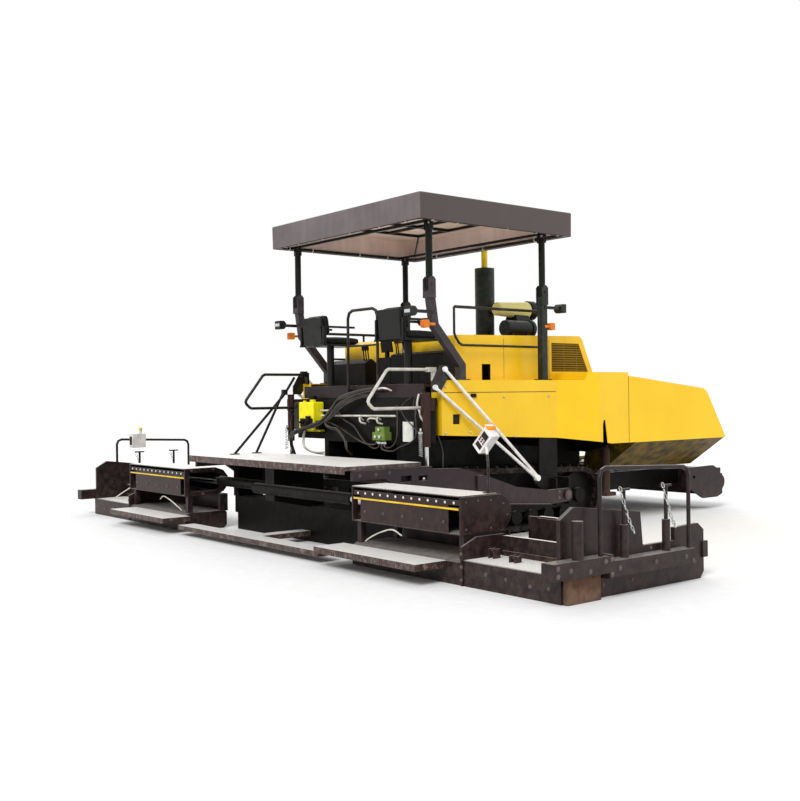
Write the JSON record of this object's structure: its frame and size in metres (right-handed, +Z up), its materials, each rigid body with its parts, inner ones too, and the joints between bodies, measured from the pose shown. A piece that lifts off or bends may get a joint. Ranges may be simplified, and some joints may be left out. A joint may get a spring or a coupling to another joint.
{
  "type": "tracked concrete and asphalt paver",
  "caption": "Tracked paver with a front hopper, slat conveyor, augers, a roofed operator's deck and a towed extending screed with bolted end sections.",
  "frame": {"origin": "on the ground under the middle of the machine's overall box", "axes": "+X forward in the direction of paving, +Y to the machine's left, +Z up"},
  "size_m": [7.21, 9, 3.74],
  "materials": {
    "side_yellow": "gloss",
    "track_steel": "satin",
    "frame_dark": "satin",
    "hopper_steel": "satin",
    "roller_steel": "satin",
    "auger_steel": "satin",
    "arm_dark": "satin",
    "screed_dark": "satin",
    "guard_dark": "satin",
    "chequer_plate": "satin",
    "jack_steel": "satin",
    "rod_chrome": "polished",
    "grille_black": "satin",
    "deck_dark": "satin",
    "console_dark": "matt",
    "seat_shell": "matt",
    "seat_vinyl": "satin",
    "rail_black": "satin",
    "post_dark": "satin",
    "roof_tube": "satin",
    "roof_fabric": "matt",
    "exhaust_black": "satin",
    "filter_black": "satin",
    "conveyor_steel": "satin",
    "cylinder_rust": "satin",
    "lamp_body": "gloss",
    "hydraulic_steel": "satin",
    "control_black": "matt"
  },
  "bodies": {
    "tractor": {"track_left": "track_steel", "track_right": "track_steel", "track_frame_left": "frame_dark", "track_frame_right": "frame_dark", "side_cover_left": "side_yellow", "side_cover_right": "side_yellow", "chassis_frame": "frame_dark", "engine_block": "frame_dark", "hood_shell": "side_yellow", "hood_grilles": "grille_black", "deck_platform": "deck_dark", "consoles": "console_dark", "seat_frames": "seat_shell", "seat_cushions": "seat_vinyl", "handrails": "rail_black", "canopy_brackets": "post_dark", "exhaust_stack": "exhaust_black", "air_cleaner": "filter_black", "conveyor": "conveyor_steel", "hopper_apron": "frame_dark", "wing_cylinders": "cylinder_rust", "push_beam": "frame_dark", "lift_barrels": "cylinder_rust", "stays": "rod_chrome", "auger_frame": "frame_dark", "lamps": "lamp_body", "rear_hydraulics": "hydraulic_steel"},
    "screed": {"main_screed": "screed_dark", "walkway": "chequer_plate", "main_footboard": "chequer_plate", "tow_arm_left": "arm_dark", "tow_arm_right": "arm_dark"},
    "lift_rods": {"lift_rods": "rod_chrome"},
    "canopy_posts_rear": {"canopy_posts_rear": "post_dark"},
    "canopy_posts_front": {"canopy_posts_front": "post_dark"},
    "canopy_roof": {"canopy_frame": "roof_tube", "canopy_cover": "roof_fabric"},
    "extension_left": {"extension_screed_left": "screed_dark", "extension_guard_left": "guard_dark", "guide_rod_left": "rod_chrome", "footboard_left": "chequer_plate", "bolt_on_left": "screed_dark", "end_plate_left": "screed_dark", "end_gear_left": "jack_steel", "control_box_left": "control_black"},
    "hopper_wing_left": {"hopper_wing_left": "hopper_steel"},
    "push_roller_left": {"push_roller_left": "roller_steel"},
    "auger_left": {"auger_left": "auger_steel"},
    "extension_right": {"extension_screed_right": "screed_dark", "extension_guard_right": "guard_dark", "guide_rod_right": "rod_chrome", "footboard_right": "chequer_plate", "bolt_on_right": "screed_dark", "end_plate_right": "screed_dark", "end_gear_right": "jack_steel", "control_box_right": "control_black"},
    "hopper_wing_right": {"hopper_wing_right": "hopper_steel"},
    "push_roller_right": {"push_roller_right": "roller_steel"},
    "auger_right": {"auger_right": "auger_steel"}
  },
  "joints": [
    {"name": "screed_lift", "type": "hinge", "parent": "tractor", "child": "screed", "pos_m": [-0.105, 0, 0.45], "axis": [0, 1, 0], "range_deg": [0, 8]},
    {"name": "lift_rod_slide", "type": "slide", "parent": "tractor", "child": "lift_rods", "axis": [0, 0, 1], "range_m": [0, 0.262]},
    {"name": "canopy_fold", "type": "hinge", "parent": "tractor", "child": "canopy_posts_rear", "pos_m": [-1.865, 0, 2.8], "axis": [0, -1, 0], "range_deg": [0, 75]},
    {"name": "canopy_front_fold", "type": "hinge", "parent": "tractor", "child": "canopy_posts_front", "pos_m": [-0.125, 0, 2.8], "axis": [0, -1, 0], "range_deg": [0, 75]},
    {"name": "canopy_level", "type": "hinge", "parent": "canopy_posts_rear", "child": "canopy_roof", "pos_m": [-1.865, 0, 3.405], "axis": [0, -1, 0], "range_deg": [-75, 0]},
    {"name": "extension_slide_left", "type": "slide", "parent": "screed", "child": "extension_left", "axis": [0, 1, 0], "range_m": [-1.55, 0]},
    {"name": "wing_fold_left", "type": "hinge", "parent": "tractor", "child": "hopper_wing_left", "pos_m": [1.145, 0.7, 0.65], "axis": [1, 0, 0], "range_deg": [0, 50]},
    {"name": "push_roller_spin_left", "type": "hinge", "parent": "tractor", "child": "push_roller_left", "pos_m": [3.51, 0.6, 0.36], "axis": [0, 1, 0], "continuous": true},
    {"name": "auger_spin_left", "type": "hinge", "parent": "tractor", "child": "auger_left", "pos_m": [-2.031, 0.8, 0.37], "axis": [0, 1, 0], "continuous": true},
    {"name": "extension_slide_right", "type": "slide", "parent": "screed", "child": "extension_right", "axis": [0, -1, 0], "range_m": [-1.55, 0]},
    {"name": "wing_fold_right", "type": "hinge", "parent": "tractor", "child": "hopper_wing_right", "pos_m": [1.145, -0.7, 0.65], "axis": [-1, 0, 0], "range_deg": [0, 50]},
    {"name": "push_roller_spin_right", "type": "hinge", "parent": "tractor", "child": "push_roller_right", "pos_m": [3.51, -0.6, 0.36], "axis": [0, 1, 0], "continuous": true},
    {"name": "auger_spin_right", "type": "hinge", "parent": "tractor", "child": "auger_right", "pos_m": [-2.031, -0.8, 0.37], "axis": [0, 1, 0], "continuous": true}
  ],
  "couplings": [
    {"joint": "lift_rod_slide", "follows": "screed_lift", "m_per_rad": 1.86},
    {"joint": "canopy_front_fold", "follows": "canopy_fold", "ratio": 1},
    {"joint": "canopy_level", "follows": "canopy_fold", "ratio": -1}
  ]
}
